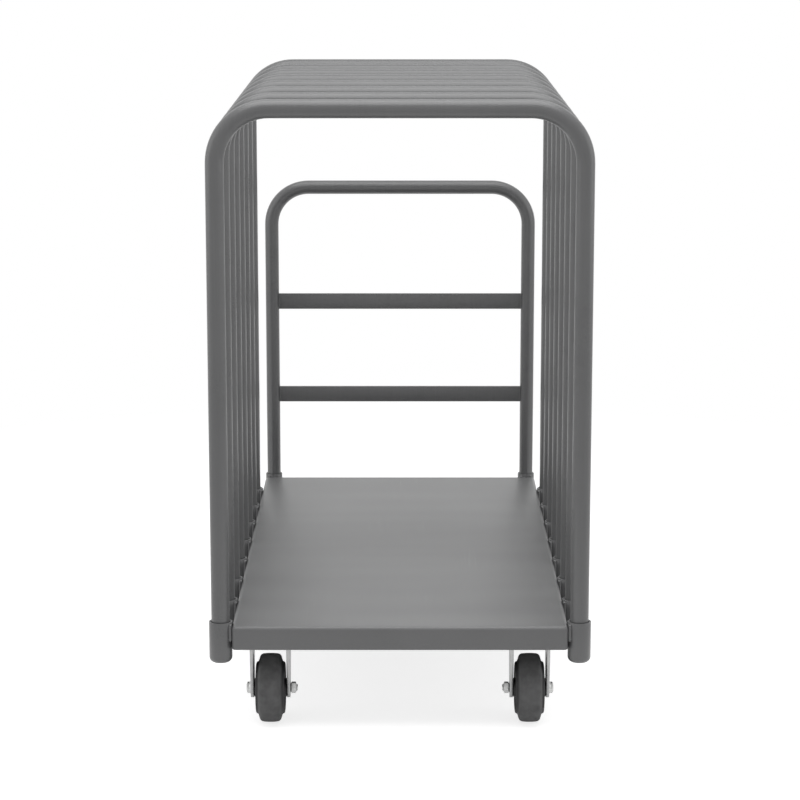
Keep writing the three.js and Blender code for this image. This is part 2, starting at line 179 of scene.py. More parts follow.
class CartCasterSizes(PropertyGroup):
    """Sizes of the casters, wheels and their fasteners."""

    wheel_facets: count("Wheel facets", "Facets round a wheel", 96, 12)
    bolt_facets: count("Bolt facets", "Facets round a bolt or a hole", 32, 8)
    hexagon_facets: count("Hexagon facets", "Facets round the chamfer of a hexagon", 48, 12)
    fold_steps: count("Fold steps", "Steps round a fold or corner of a pressed piece", 6, 1)
    edge: length("Edge", "Rounding of a pressed edge", 0.0007)
    cast_edge: length("Cast edge", "Rounding of a cast or turned edge", 0.0014)
    nut_edge: length("Nut edge", "Rounding of the edges of bolts, nuts and washers", 0.00035)
    tread: length("Tread", "Width of the tread", 0.0364)
    tread_flat: length("Tread flat", "Width of the flat in the middle of the tread", 0.01)
    tread_crown: length("Tread crown", "How far the tread falls from that flat", 0.0012)
    tread_round: length("Tread round", "Rounding of the tread's edges", 0.005)
    tyre_round: length("Tyre round", "Rounding of the tyre's other edges", 0.0018)
    shoulder: length("Shoulder", "Width of the tyre where its shoulder ends", 0.0446)
    shoulder_depth: length("Shoulder depth", "How far the shoulder ends below the tread", 0.0148)
    bead_depth: length("Bead depth", "How far the tyre's bead begins below the tread", 0.0166)
    rim_thickness: length("Rim thickness", "Thickness of the core's rim", 0.0065)
    rim_width: length("Rim width", "Width of the core's rim", 0.048)
    web: length("Web", "Thickness of the core's web", 0.013)
    hub_radius: length("Hub radius", "Radius of the core's hub", 0.0175)
    axle: length("Axle", "Diameter of the axle bolt", 0.0127)
    axle_clearance: length("Axle clearance", "Radial clearance round the axle bolt", 0.00035)
    axle_head: length("Axle head", "Height of the axle bolt's head", 0.0079)
    axle_flange: length("Axle flange", "Height of the flange under that head", 0.0034)
    axle_flange_radius: length("Axle flange radius", "Radius of that flange", 0.0124)
    hexagon_flat: number("Hexagon flat", "Round flat of a hexagon over its width across flats", 0.76)
    thread_pitch: length("Thread pitch", "Pitch of the thread at the axle bolt's end", 0.0014)
    thread_depth: length("Thread depth", "Depth of that thread", 0.0007)
    fork_sheet: length("Fork sheet", "Thickness of a caster's fork", 0.006)
    fork_gap: length("Fork gap", "Gap between the hub and each fork leg", 0.0007)
    fork_shoulder: length("Fork shoulder", "Outer radius of the fork's folds", 0.01)
    fork_end: length("Fork end", "Radius of the fork's ends", 0.0185)
    rigid_crown: length("Rigid crown", "Length of a rigid fork's crown", 0.072)
    swivel_crown: length("Swivel crown", "Length of a swivel fork's crown", 0.076)
    plate: length("Plate", "Thickness of a top plate", 0.0064)
    plate_corner: length("Plate corner", "Radius of a top plate's corners", 0.008)
    race: length("Race", "Height of a swivel's two races together", 0.0186)
    race_gap: length("Race gap", "Gap between the two races", 0.001)
    race_taper: length("Race taper", "How far a race draws in", 0.00465)
    upper_race_radius: length("Upper race radius", "Radius of the race on the plate", 0.031)
    lower_race_radius: length("Lower race radius", "Radius of the race on the fork", 0.035)
    kingpin: length("Kingpin", "Diameter of a kingpin", 0.014)
    kingpin_clearance: length("Kingpin clearance", "Radial clearance round a kingpin", 0.0003)
    kingpin_head: length("Kingpin head", "Height of a kingpin's head", 0.005)
    bolt_spacing_x: length("Bolt spacing across", "Between plate bolts, across the cart", 0.0667)
    bolt_spacing_y: length("Bolt spacing along", "Between plate bolts, along the cart", 0.0921)
    bolt_hole: length("Bolt hole", "Diameter of a plate's bolt holes", 0.0104)
    bolt: length("Bolt", "Diameter of a plate bolt", 0.0095)
    bolt_hexagon: length("Bolt hexagon", "Plate bolt's head and nut, across flats", 0.0143)
    bolt_head: length("Bolt head", "Height of a plate bolt's head", 0.006)
    bolt_nut: length("Bolt nut", "Height of a plate bolt's nut", 0.0083)
    bolt_end: length("Bolt end", "How far a plate bolt passes its nut", 0.003)
    washer_radius: length("Washer radius", "Outer radius of a plate bolt's washers", 0.0098)
    washer: length("Washer", "Thickness of those washers", 0.0016)


class CartFinishes(PropertyGroup):
    """Colours of the finishes."""

    paint_dark: colour("Paint, dark", "Darker tone of the powder coat", (0.123, 0.124, 0.126))
    paint_light: colour("Paint, light", "Lighter tone of the powder coat", (0.165, 0.166, 0.168))
    # The deck's lighter tone is where the painted light on its top and the painted highlight on its
    # long edges blend to
    deck_dark: colour("Deck, dark", "Darker tone of the deck's coat", (0.126, 0.127, 0.129))
    deck_light: colour("Deck, light", "Lighter tone of the deck's coat", (0.246, 0.247, 0.249))
    zinc_dark: colour("Zinc, dark", "Darker tone of the zinc plate", (0.26, 0.263, 0.267))
    zinc_light: colour("Zinc, light", "Lighter tone of the zinc plate", (0.42, 0.42, 0.414))
    bolt_dark: colour("Bolts, dark", "Darker tone of the bolts' plate", (0.4, 0.403, 0.407))
    bolt_light: colour("Bolts, light", "Lighter tone of the bolts' plate", (0.64, 0.64, 0.63))
    core_dark: colour("Core, dark", "Darker tone of the wheel core", (0.012, 0.012, 0.013))
    core_light: colour("Core, light", "Lighter tone of the wheel core", (0.03, 0.03, 0.031))
    rubber_dark: colour("Rubber, dark", "Tone of the tyre's sides", (0.034, 0.034, 0.035))
    rubber_light: colour("Rubber, light", "Tone of the tyre's tread", (0.168, 0.168, 0.169))


class CartStage(PropertyGroup):
    """Camera, lamps and floor."""

    camera_distance: length("Camera distance", "From the deck's front edge", 4.54)
    camera_height: length("Camera height", "Above the floor", 1.519)
    camera_pitch: number("Camera pitch", "Angle below level", math.radians(11.18), subtype="ANGLE")
    lens: number("Lens", "Focal length in millimetres", 117.1)
    top_power: number("Top lamp", "Power of the lamp overhead", 79, unit="POWER")
    top_rise: length("Top lamp rise", "Height of that lamp over the hoops", 2.4)
    top_forward: length("Top lamp forward", "How far it hangs before the cart's middle", 0.6)
    top_size: length("Top lamp size", "Side of that lamp", 3.2)
    side_power: number("Side lamps", "Power of each side lamp", 15, unit="POWER")
    side_distance: length("Side lamp distance", "From the cart's middle out to a side lamp", 3.6)
    side_forward: length("Side lamp forward", "How far they stand before the cart's middle", 0.8)
    side_height: length("Side lamp height", "Above the floor", 1.5)
    side_size: length("Side lamp size", "Side of each side lamp", 2.2)
    room_light: number("Room light", "Strength of the light from all round", 0.31)
    floor: colour("Floor", "Colour of the floor", (0.8, 0.8, 0.8))
    floor_glow: number("Floor glow", "Light that the floor shows of itself", 0.76)
    floor_size: length("Floor size", "Side of the floor", 160)
    fade_start: length("Fade start", "Where the floor begins to fade to white", 0.9)
    fade_end: length("Fade end", "Where the floor is white", 2.4)


# Modelling

def rest():
    """Leaves edit mode and deselects everything."""
    if bpy.context.object and bpy.context.object.mode != "OBJECT":
        bpy.ops.object.mode_set(mode="OBJECT")
    bpy.ops.object.select_all(action="DESELECT")


def select_only(piece):
    """Makes a piece the only one selected, and the active one."""
    rest()
    piece.select_set(True)
    bpy.context.view_layer.objects.active = piece


def rename(piece, name):
    """Names a piece and its mesh."""
    piece.name = name
    piece.data.name = name
    return piece


def start(name, primitive, **settings):
    """Adds a primitive at its size and place as a new piece, and opens it for editing."""
    rest()
    primitive(**settings)
    piece = rename(bpy.context.object, name)
    bpy.ops.object.transform_apply(location=True, rotation=True, scale=True)
    bpy.ops.object.mode_set(mode="EDIT")
    return piece


def start_block(name, low, high):
    """Opens a block between two corners."""
    low = Vector(low)
    high = Vector(high)
    middle = (low + high) / 2
    return start(name, bpy.ops.mesh.primitive_cube_add, size=1, location=middle, scale=high - low)


def start_round(name, facets, radius, middle, depth, turn=UPRIGHT):
    """Opens a round bar about its middle, upright unless it is turned."""
    return start(
        name, bpy.ops.mesh.primitive_cylinder_add,
        vertices=facets, radius=radius, depth=depth, location=middle, rotation=turn,
    )


def start_cone(name, facets, foot, head, middle, depth, turn=UPRIGHT):
    """Opens a cut cone about its middle, with the radii of its foot and head."""
    return start(
        name, bpy.ops.mesh.primitive_cone_add,
        vertices=facets, radius1=foot, radius2=head, depth=depth, location=middle, rotation=turn,
    )


def close():
    """Merges doubled points, turns the faces outwards and leaves edit mode."""
    bpy.ops.mesh.select_all(action="SELECT")
    bpy.ops.mesh.remove_doubles(threshold=MERGE)
    bpy.ops.mesh.normals_make_consistent(inside=False)
    bpy.ops.object.mode_set(mode="OBJECT")


def pick_faces(test):
    """Selects the faces of the open piece whose middle and normal pass a test."""
    bpy.ops.mesh.select_mode(type="FACE")
    bpy.ops.mesh.select_all(action="DESELECT")
    data = bpy.context.object.data
    for face in bmesh.from_edit_mesh(data).faces:
        if test(face.calc_center_median(), face.normal):
            face.select_set(True)
    bmesh.update_edit_mesh(data)


def pick_edges(test):
    """Selects the edges of the open piece whose middle and direction pass a test."""
    bpy.ops.mesh.select_mode(type="EDGE")
    bpy.ops.mesh.select_all(action="DESELECT")
    data = bpy.context.object.data
    for edge in bmesh.from_edit_mesh(data).edges:
        first, second = (vertex.co for vertex in edge.verts)
        if test((first + second) / 2, (second - first).normalized()):
            edge.select_set(True)
    bmesh.update_edit_mesh(data)


def delete_faces(test):
    """Deletes the faces of the open piece that pass a test."""
    pick_faces(test)
    bpy.ops.mesh.delete(type="FACE")


def extrude(x=0.0, y=0.0, z=0.0):
    """Extrudes what is selected."""
    bpy.ops.mesh.extrude_region_move(TRANSFORM_OT_translate={"value": (x, y, z)})


def scale_about(middle, x=1.0, y=1.0, z=1.0):
    """Scales what is selected about a point."""
    bpy.ops.transform.resize(value=(x, y, z), center_override=middle)


def round_edges(radius, steps):
    """Rounds the selected edges."""
    bpy.ops.mesh.bevel(offset=radius, segments=steps, affect="EDGES", clamp_overlap=True)


def apply_modifier(piece, kind, **settings):
    """Adds a modifier to a piece and applies it."""
    select_only(piece)
    bpy.ops.object.modifier_add(type=kind)
    modifier = piece.modifiers[-1]
    for name, value in settings.items():
        setattr(modifier, name, value)
    bpy.ops.object.modifier_apply(modifier=modifier.name)


def thicken(piece, wall):
    """Gives a sheet its thickness, inwards from its faces."""
    apply_modifier(piece, "SOLIDIFY", thickness=wall, offset=-1, use_even_offset=True)


def soften(piece, width, steps=SOFTEN_STEPS):
    """Rounds every sharp edge of a finished piece a little."""
    limit = {"limit_method": "ANGLE", "angle_limit": SOFTEN_ANGLE}
    apply_modifier(piece, "BEVEL", width=width, segments=steps, **limit)


def cut(piece, tool, operation="DIFFERENCE"):
    """Cuts a piece with a tool, or keeps what the two share, and removes the tool."""
    apply_modifier(piece, "BOOLEAN", object=tool, operation=operation, solver="EXACT")
    bpy.data.objects.remove(tool)


def drill(piece, middle, radius, turn=UPRIGHT):
    """Drills a round hole right through a piece."""
    facets = bpy.context.scene.cart_casters.bolt_facets
    cut(piece, start_round("drill", facets, radius, middle, THROUGH, turn))


def join(pieces, name):
    """Joins pieces into one."""
    select_only(pieces[0])
    for piece in pieces:
        piece.select_set(True)
    bpy.ops.object.join()
    return rename(bpy.context.object, name)


def copy_piece(piece, name, shift=(0, 0, 0), half_turn_about=None):
    """Copies a piece with its mesh, turned half round if an upright line is given, and shifts it."""
    select_only(piece)
    bpy.ops.object.duplicate(linked=False)
    copy = rename(bpy.context.object, name)
    if half_turn_about is not None:
        bpy.ops.transform.rotate(value=math.pi, orient_axis="Z", center_override=half_turn_about)
    bpy.ops.transform.translate(value=shift)
    bpy.ops.object.transform_apply(location=True, rotation=True, scale=True)
    return copy


def dress(piece, finish, body, *nodes):
    """Gives a finished piece its finish, its body and the frame's nodes that it stands for."""
    select_only(piece)
    bpy.ops.object.shade_smooth_by_angle(angle=SMOOTH_ANGLE)
    build, slot = FINISHES[finish]
    piece.data.materials.clear()
    piece.data.materials.append(bpy.data.materials.get(finish) or surface(finish, build))
    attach(piece, body)
    if nodes:
        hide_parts(*nodes)


def spread(first, keys, name, node, body, finish):
    """Copies the piece at the first key's node to the other keys' nodes, and dresses them all.

    In the patterns of the name, the node and the body, {} stands for the key.
    """
    pieces = [first]
    for key in keys[1:]:
        shift = middle_of(node.format(key)) - middle_of(node.format(keys[0]))
        pieces.append(copy_piece(first, name.format(key), shift))
    for key, piece in zip(keys, pieces):
        dress(piece, finish, body.format(key), node.format(key))


def middle_of(node):
    """The middle of a frame node's box."""
    low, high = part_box(node)
    return (low + high) / 2


# Finishes

class Socket:
    """An output of a shader node. Sums and products of it add their Math nodes."""

    def __init__(self, shader, output):
        self.shader = shader
        self.output = output

    def work_out(self, operation, *terms):
        """The output of a Math node on one or two terms."""
        return self.shader.add("ShaderNodeMath", {"operation": operation}, dict(enumerate(terms)))

    def __add__(self, other):
        return self.work_out("ADD", self, other)

    def __radd__(self, other):
        return self.work_out("ADD", other, self)

    def __sub__(self, other):
        return self.work_out("SUBTRACT", self, other)

    def __mul__(self, other):
        return self.work_out("MULTIPLY", self, other)

    def __abs__(self):
        return self.work_out("ABSOLUTE", self)

    def swing(self, by):
        """What a noise gives or takes about its middle, so much from end to end."""
        return (self - HALF) * by


class Shader:
    """A node tree that is written from its inputs to its output."""

    def __init__(self, tree):
        self.tree = tree
        tree.nodes.clear()

    def add(self, kind, settings=None, inputs=None, output=0):
        """Adds a node, sets it up, fills or links its sockets and gives one of its outputs."""
        node = self.tree.nodes.new(kind)
        for name, value in (settings or {}).items():
            setattr(node, name, value)
        for key, value in (inputs or {}).items():
            if isinstance(value, Socket):
                self.tree.links.new(value.output, node.inputs[key])
            else:
                node.inputs[key].default_value = value
        return Socket(self, node.outputs[output]) if node.outputs else None

    def noise(self, place, cells, detail=2.0, stretch=(1, 1, 1)):
        """Noise about a half, with so many cells in a metre, drawn out where the stretch is below 1."""
        if stretch != (1, 1, 1):
            place = self.add("ShaderNodeMapping", None, {"Vector": place, "Scale": stretch})
        inputs = {"Vector": place, "Scale": cells, "Detail": detail}
        return self.add("ShaderNodeTexNoise", {"noise_dimensions": "3D"}, inputs)

    def mark(self, name):
        """A mark that a piece's points carry."""
        return self.add("ShaderNodeAttribute", {"attribute_name": name}, output="Fac")

    def between(self, low, high, value):
        """How far a value is from one level to another, from 0 to 1."""
        limits = {"Value": value, "From Min": low, "From Max": high}
        return self.add("ShaderNodeMapRange", {"clamp": True}, limits)

    def blend(self, share, first, second):
        """A colour between two."""
        settings = {"data_type": "RGBA", "clamp_factor": True}
        inputs = {MIX_SHARE: share, MIX_FIRST: (*first, 1), MIX_SECOND: (*second, 1)}
        return self.add("ShaderNodeMix", settings, inputs, MIX_RESULT)

    def fade(self, share, first, second):
        """One shader that passes into another."""
        return self.add("ShaderNodeMixShader", None, {0: share, 1: first, 2: second})


def surface(name, build):
    """A material whose inputs come from a function of its shader, a place on a piece and the tones."""
    material = bpy.data.materials.new(name)
    material.use_nodes = True
    shader = Shader(material.node_tree)
    place = shader.add("ShaderNodeTexCoord", output="Object")
    inputs = build(shader, place, bpy.context.scene.cart_finishes)
    height, depth = inputs.pop("Height")
    bump = {"Height": height, "Distance": depth, "Strength": 1.0}
    inputs["Normal"] = shader.add("ShaderNodeBump", None, bump)
    principled = shader.add("ShaderNodeBsdfPrincipled", None, inputs)
    shader.add("ShaderNodeOutputMaterial", None, {"Surface": principled})
    return material


def coat_grain(shader, place):
    """The fine speckle of powder coat, and the height of its orange peel with that speckle on it."""
    speckle = shader.noise(place, cells=1500)
    peel = shader.noise(place, cells=520, detail=1)
    speckle_height = 0.35
    return speckle, peel + speckle * speckle_height


def powder_coat(shader, place, tones):
    """Grey powder coat with orange peel, a fine speckle, faint clouding and rubbing."""
    cloud = shader.noise(place, cells=6, detail=3)
    speckle, grain = coat_grain(shader, place)
    rub = shader.noise(place, cells=300, stretch=(1, 0.02, 0.02))
    share = HALF + cloud.swing(by=0.9) + speckle.swing(by=0.9) + rub.swing(by=0.5)
    return {
        "Base Color": shader.blend(share, tones.paint_dark, tones.paint_light),
        "Roughness": 0.29 + cloud.swing(by=0.12) + speckle.swing(by=0.1),
        "Specular IOR Level": COAT_SHINE,
        "Height": (grain, COAT_DEPTH),
    }


def deck_coat(shader, place, tones):
    """The same coat on the deck, with painted light on its top and a painted highlight along its long
    edges.

    The top also carries painted shade towards its sides under the hoops, painted bands of the hoops'
    shadow and reflection, and rubbed streaks of real wear, and it is paler towards the open end.
    """
    cloud = shader.noise(place, cells=4, detail=3, stretch=(1.6, 0.5, 1))
    slide = shader.noise(place, cells=260, detail=3, stretch=(1, 0.015, 1))
    dent = shader.noise(place, cells=3.2, detail=1, stretch=(0.6, 1.5, 1))
    # Bands of painted shadow and reflection from the hoops overhead, drawn out across the cart
    shade_band = shader.noise(place, cells=8, detail=1, stretch=(0.2, 1, 1))
    speckle, grain = coat_grain(shader, place)
    # The mark is painted light on the top and a painted highlight on the long edges; it also keeps the
    # rubbed streaks to the top
    top_light_and_wear = shader.mark("top_light_and_wear")
    across = abs(shader.add("ShaderNodeSeparateXYZ", None, {0: place}, output="X"))
    along = shader.add("ShaderNodeSeparateXYZ", None, {0: place}, output="Y")
    deck_side = 0.31
    lit_middle_edge = 0.13
    deck_end = 0.6
    # Painted shade towards the deck's sides, where the hoops stand over it, as a middle that is lighter
    lit_middle = shader.between(deck_side, lit_middle_edge, across)
    # The top is paler towards the open end
    towards_open_end = shader.between(deck_end, -deck_end, along)
    streak = shader.between(low=0.6, high=0.78, value=slide)
    scuff = streak * shader.between(low=0.45, high=0.7, value=cloud) * top_light_and_wear
    unmarked_share = 0.2
    lit_top_share = 0.22
    lit_middle_share = 0.2
    open_end_share = 0.26
    scuff_wear = 0.15
    scuff_shine = 0.1
    shade_band_share = 0.55
    dent_height = 4.0
    # The top's painted light, with its painted shade towards the sides and its paleness towards the
    # open end
    top_paleness = top_light_and_wear * (lit_top_share + lit_middle * lit_middle_share + towards_open_end * open_end_share)
    # Random clouding and speckle, with the painted bands of shadow and reflection on the top
    drift = cloud.swing(by=0.5) + speckle.swing(by=0.5) + (shade_band - HALF) * top_light_and_wear * shade_band_share
    share = unmarked_share + top_paleness + drift + scuff * scuff_wear
    return {
        "Base Color": shader.blend(share, tones.deck_dark, tones.deck_light),
        "Roughness": 0.42 + cloud.swing(by=0.14) - scuff * scuff_shine,
        "Specular IOR Level": COAT_SHINE,
        "Height": (grain + dent * dent_height, COAT_DEPTH),
    }


def plated(shader, place, dark, light):
    """Zinc plate over steel, with fine streaks and duller patches."""
    patch = shader.noise(place, cells=55, detail=3)
    streak = shader.noise(place, cells=900, stretch=(1, 1, 0.04))
    grain = shader.noise(place, cells=1900)
    share = HALF + patch.swing(by=1.2) + streak.swing(by=0.8)
    streak_height = 0.6
    plate_depth = 0.00009
    return {
        "Base Color": shader.blend(share, dark, light),
        "Metallic": 1.0,
        "Roughness": 0.36 + patch.swing(by=0.25) + grain.swing(by=0.15),
        "Height": (streak * streak_height + grain * (1 - streak_height), plate_depth),
    }


def fork_zinc(shader, place, tones):
    """The plate of the casters' pressed pieces, dulled by handling."""
    return plated(shader, place, tones.zinc_dark, tones.zinc_light)


def bolt_zinc(shader, place, tones):
    """The brighter plate of bolts and nuts."""
    return plated(shader, place, tones.bolt_dark, tones.bolt_light)


def cast_core(shader, place, tones):
    """Black painted cast iron, with the sand's grain."""
    sand = shader.noise(place, cells=420, detail=4)
    patch = shader.noise(place, cells=40, detail=3)
    core_share = 0.4
    sand_depth = 0.0006
    share = core_share + (patch - HALF) + (sand - HALF)
    return {
        "Base Color": shader.blend(share, tones.core_dark, tones.core_light),
        "Roughness": 0.58 + sand.swing(by=0.3),
        "Height": (sand, sand_depth),
    }


def moulded_rubber(shader, place, tones):
    """Dark rubber with a matt mould grain, paler and dusty where the tread has rolled."""
    grain = shader.noise(place, cells=900, detail=3)
    patch = shader.noise(place, cells=70, detail=3)
    rolled = shader.mark("rolled")
    side_share = 0.12
    rolled_share = 0.75
    dust = 0.14
    patch_height = 0.8
    mould_depth = 0.00035
    share = rolled * (rolled_share + patch.swing(by=0.6)) + patch.swing(by=0.25) + side_share
    return {
        "Base Color": shader.blend(share, tones.rubber_dark, tones.rubber_light),
        "Roughness": 0.7 + rolled * dust + grain.swing(by=0.2),
        "Specular IOR Level": 0.35,
        "Height": (grain + patch * patch_height, mould_depth),
    }


FINISHES = {
    "powder coat": (powder_coat, "grey_paint"),
    "deck coat": (deck_coat, "grey_paint"),
    "fork zinc": (fork_zinc, "zinc_steel"),
    "bolt zinc": (bolt_zinc, "zinc_steel"),
    "cast core": (cast_core, "black_core"),
    "moulded rubber": (moulded_rubber, "grey_rubber"),
}


# Pieces that several operators use

def bent_tube(name, node, wall, bend, sizes):
    """A tube bent into a hoop, in the place of a frame node."""
    low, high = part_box(node)
    radius = (high.y - low.y) / 2
    y = (high.y + low.y) / 2
    half = high.x - radius
    shoulder = high.z - radius - bend
    quarter = {"steps": sizes.bend_steps, "angle": math.pi / 2, "axis": (0, -1, 0)}
    circle = {"vertices": sizes.tube_facets, "radius": radius, "location": (-half, y, low.z)}
    tube = start(name, bpy.ops.mesh.primitive_circle_add, **circle)
    pick_edges(lambda place, run: True)
    extrude(z=shoulder - low.z)
    bpy.ops.mesh.spin(center=(bend - half, y, shoulder), **quarter)
    extrude(x=2 * (half - bend))
    bpy.ops.mesh.spin(center=(half - bend, y, shoulder), **quarter)
    extrude(z=low.z - shoulder)
    close()
    thicken(tube, wall)
    return tube


def socket_cup(name, node, wall, sizes):
    """A drawn cup with a rounded foot, in the place of a frame node."""
    low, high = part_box(node)
    radius = (high.x - low.x) / 2
    cup = start_round(name, sizes.tube_facets, radius, middle_of(node), high.z - low.z)
    pick_edges(lambda place, run: place.z < low.z + NEAR)
    round_edges(sizes.socket_round, sizes.fold_steps)
    pick_faces(lambda place, normal: place.z > high.z - NEAR)
    bpy.ops.mesh.inset(thickness=wall)
    extrude(z=low.z + sizes.socket_floor - high.z)
    close()
    soften(cup, sizes.edge)
    return cup


def hat_channel(name, node, flange, sizes, along):
    """A folded channel with its web below and two flanges above, along an axis, in a node's place."""
    low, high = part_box(node)
    across = Y if along == X else X
    web_low = low.copy()
    web_high = high.copy()
    web_low[across] += flange
    web_high[across] -= flange
    web_high.z -= sizes.channel_sheet
    channel = start_block(name, web_low, web_high)
    delete_faces(lambda place, normal: normal.z > ALIGNED or abs(normal[along]) > ALIGNED)
    folds = {-1: web_low[across], 1: web_high[across]}
    for way, fold in folds.items():
        pick_edges(lambda place, run: place.z > web_high.z - NEAR and abs(place[across] - fold) < NEAR)
        shift = [0, 0, 0]
        shift[across] = way * flange
        extrude(*shift)
    pick_edges(
        lambda place, run: abs(run[along]) > ALIGNED
        and min(abs(place[across] - fold) for fold in folds.values()) < NEAR
    )
    round_edges(sizes.channel_bend, sizes.fold_steps)
    thicken(channel, sizes.channel_sheet)
    return channel


def hexagon(name, flats, middle, height, sizes, turn=UPRIGHT, ends=(1, -1)):
    """A hexagon head or nut, with the chamfer of a turned blank at one end or both."""
    slope = math.sqrt(3)
    block = start_round(name, HEXAGON_SIDES, flats / slope, middle, height, turn)
    close()
    flat = sizes.hexagon_flat * flats / 2
    wide = flat + height * slope
    for end in ends:
        radii = (wide, flat) if end > 0 else (flat, wide)
        cone = start_cone("turning", sizes.hexagon_facets, *radii, middle, height, turn)
        close()
        cut(block, cone, "INTERSECT")
    return block


def weld_bead(middle, width, height, sizes):
    """An upright bead of weld with its ripples."""
    bead = start_round("bead", sizes.weld_facets, width / 2, middle, height)
    rings = max(2, round(height / sizes.weld_ripple))
    pick_edges(lambda place, run: abs(run.z) > ALIGNED)
    bpy.ops.mesh.subdivide(number_cuts=rings - 1)
    pitch = height / rings
    bottom = middle.z - height / 2
    pick_edges(lambda place, run: abs(run.z) < ALIGNED and round((place.z - bottom) / pitch) % 2 == 1)
    scale_about(middle, sizes.weld_groove, sizes.weld_groove)
    for end in BOTH_WAYS:
        pick_faces(lambda place, normal: normal.z * end > ALIGNED)
        scale_about(middle, sizes.weld_end, sizes.weld_end)
    close()
    return bead


def fork(name, middle, top, axle, crown, sizes):
    """A pressed fork: a strip folded over the wheel, its legs drawn in to round ends at the axle."""
    core_low, core_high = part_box("wheel_core_front_left")
    half = (core_high.x - core_low.x) / 2 + sizes.fork_gap + sizes.fork_sheet
    reach = crown + abs(axle.y - middle.y) + sizes.fork_end
    low = (middle.x - half, middle.y - reach, axle.z - sizes.fork_end)
    high = (middle.x + half, middle.y + reach, top)
    strip = start_block(name, low, high)
    delete_faces(lambda place, normal: normal.z < -ALIGNED or abs(normal.y) > ALIGNED)
    pick_edges(lambda place, run: place.z > top - NEAR and abs(run.y) > ALIGNED)
    round_edges(sizes.fork_shoulder, sizes.fold_steps)
    thicken(strip, sizes.fork_sheet)
    outline = start_round("outline", sizes.wheel_facets, sizes.fork_end, axle, THROUGH, ALONG_X)
    shoulder = (middle.x, middle.y, top - sizes.fork_shoulder / 2 + NEAR)
    block = (THROUGH, crown, sizes.fork_shoulder + 2 * NEAR)
    bpy.ops.mesh.primitive_cube_add(size=1, location=shoulder, scale=block)
    bpy.ops.mesh.select_all(action="SELECT")
    bpy.ops.mesh.convex_hull()
    close()
    cut(strip, outline, "INTERSECT")
    drill(strip, axle, sizes.axle / 2 + sizes.axle_clearance, ALONG_X)
    soften(strip, sizes.edge)
    return strip


def bolt_places(node, level, sizes):
    """The four bolt places of a caster's top plate, at a height."""
    middle = middle_of(node)
    for across in BOTH_WAYS:
        for along in BOTH_WAYS:
            x = middle.x + across * sizes.bolt_spacing_x / 2
            y = middle.y + along * sizes.bolt_spacing_y / 2
            yield Vector((x, y, level))


def top_plate(name, node, sizes):
    """A caster's top plate with rounded corners and its bolt holes."""
    low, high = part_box(node)
    plate = start_block(name, (low.x, low.y, high.z - sizes.plate), high)
    pick_edges(lambda place, run: abs(run.z) > ALIGNED)
    round_edges(sizes.plate_corner, sizes.fold_steps)
    close()
    for place in bolt_places(node, high.z - sizes.plate / 2, sizes):
        drill(plate, place, sizes.bolt_hole / 2)
    soften(plate, sizes.edge)
    return plate


# Operators

class CART_OT_deck(Operator):
    """Folds the deck from sheet, with its skirt and the lip under it"""

    bl_idname = "cart.deck"
    bl_label = "Deck"

    def mark_top_and_edges(self, deck, sizes):
        """Marks the deck's top for painted light, and its long edges most of all for a painted
        highlight.
        """
        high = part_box("deck_pan")[1]
        fold = high.z - sizes.deck_bend
        side = high.x - sizes.deck_bend + NEAR
        top_light_and_wear = deck.data.attributes.new("top_light_and_wear", "FLOAT", "POINT")
        for vertex, mark in zip(deck.data.vertices, top_light_and_wear.data):
            rise = max(0.0, (vertex.co.z - fold) / sizes.deck_bend)
            long_edge = abs(vertex.co.x) > side
            # A painted highlight down the long edges' folds, and painted light on the rest of the top
            mark.value = sizes.edge_highlight * rise ** sizes.edge_fall if long_edge else rise

    def execute(self, context):
        sizes = context.scene.cart_sheet
        low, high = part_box("deck_pan")
        deck = start_block("deck", low, high)
        pick_edges(lambda place, run: place.z > low.z + NEAR)
        round_edges(sizes.deck_bend, sizes.fold_steps)
        pick_edges(lambda place, run: place.z < low.z + NEAR)
        round_edges(sizes.lip_bend, sizes.fold_steps)
        pick_faces(lambda place, normal: normal.z < -ALIGNED)
        extrude()
        middle = (low + high) / 2
        inner = high - middle - Vector((sizes.skirt_lip, sizes.skirt_lip, 0))
        outer = high - middle - Vector((sizes.lip_bend, sizes.lip_bend, 0))
        scale_about(middle, inner.x / outer.x, inner.y / outer.y)
        bpy.ops.mesh.delete(type="FACE")
        thicken(deck, sizes.deck_sheet)
        self.mark_top_and_edges(deck, sizes)
        dress(deck, "deck coat", "cart_frame", "deck_pan")
        return {"FINISHED"}


class CART_OT_underframe(Operator):
    """Folds the channels under the deck and drills them for the casters"""

    bl_idname = "cart.underframe"
    bl_label = "Underframe"

    def execute(self, context):
        sizes = context.scene.cart_sheet
        casters = context.scene.cart_casters
        for end, plate in PLATES.items():
            node = f"{end}_bolster"
            bolster = hat_channel(f"{end}_caster_bolster", node, sizes.bolster_flange, sizes, X)
            for side in SIDES:
                for place in bolt_places(f"{plate}_{side}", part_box(node)[0].z, casters):
                    drill(bolster, place, casters.bolt_hole / 2)
            soften(bolster, sizes.edge)
            dress(bolster, "powder coat", "cart_frame", node)
        stiffener = hat_channel("middle_stiffener", "deck_stiffener", sizes.stiffener_flange, sizes, Y)
        soften(stiffener, sizes.edge)
        dress(stiffener, "powder coat", "cart_frame", "deck_stiffener")
        return {"FINISHED"}


class CART_OT_hoops(Operator):
    """Bends the first divider hoop from tube and copies it along the cart"""

    bl_idname = "cart.hoops"
    bl_label = "Divider hoops"

    def execute(self, context):
        sizes = context.scene.cart_sheet
        hoop = bent_tube("hoop_1", "divider_hoop_1", sizes.hoop_wall, sizes.hoop_bend, sizes)
        spread(hoop, HOOPS, "hoop_{}", "divider_hoop_{}", "divider_{}", "powder coat")
        return {"FINISHED"}


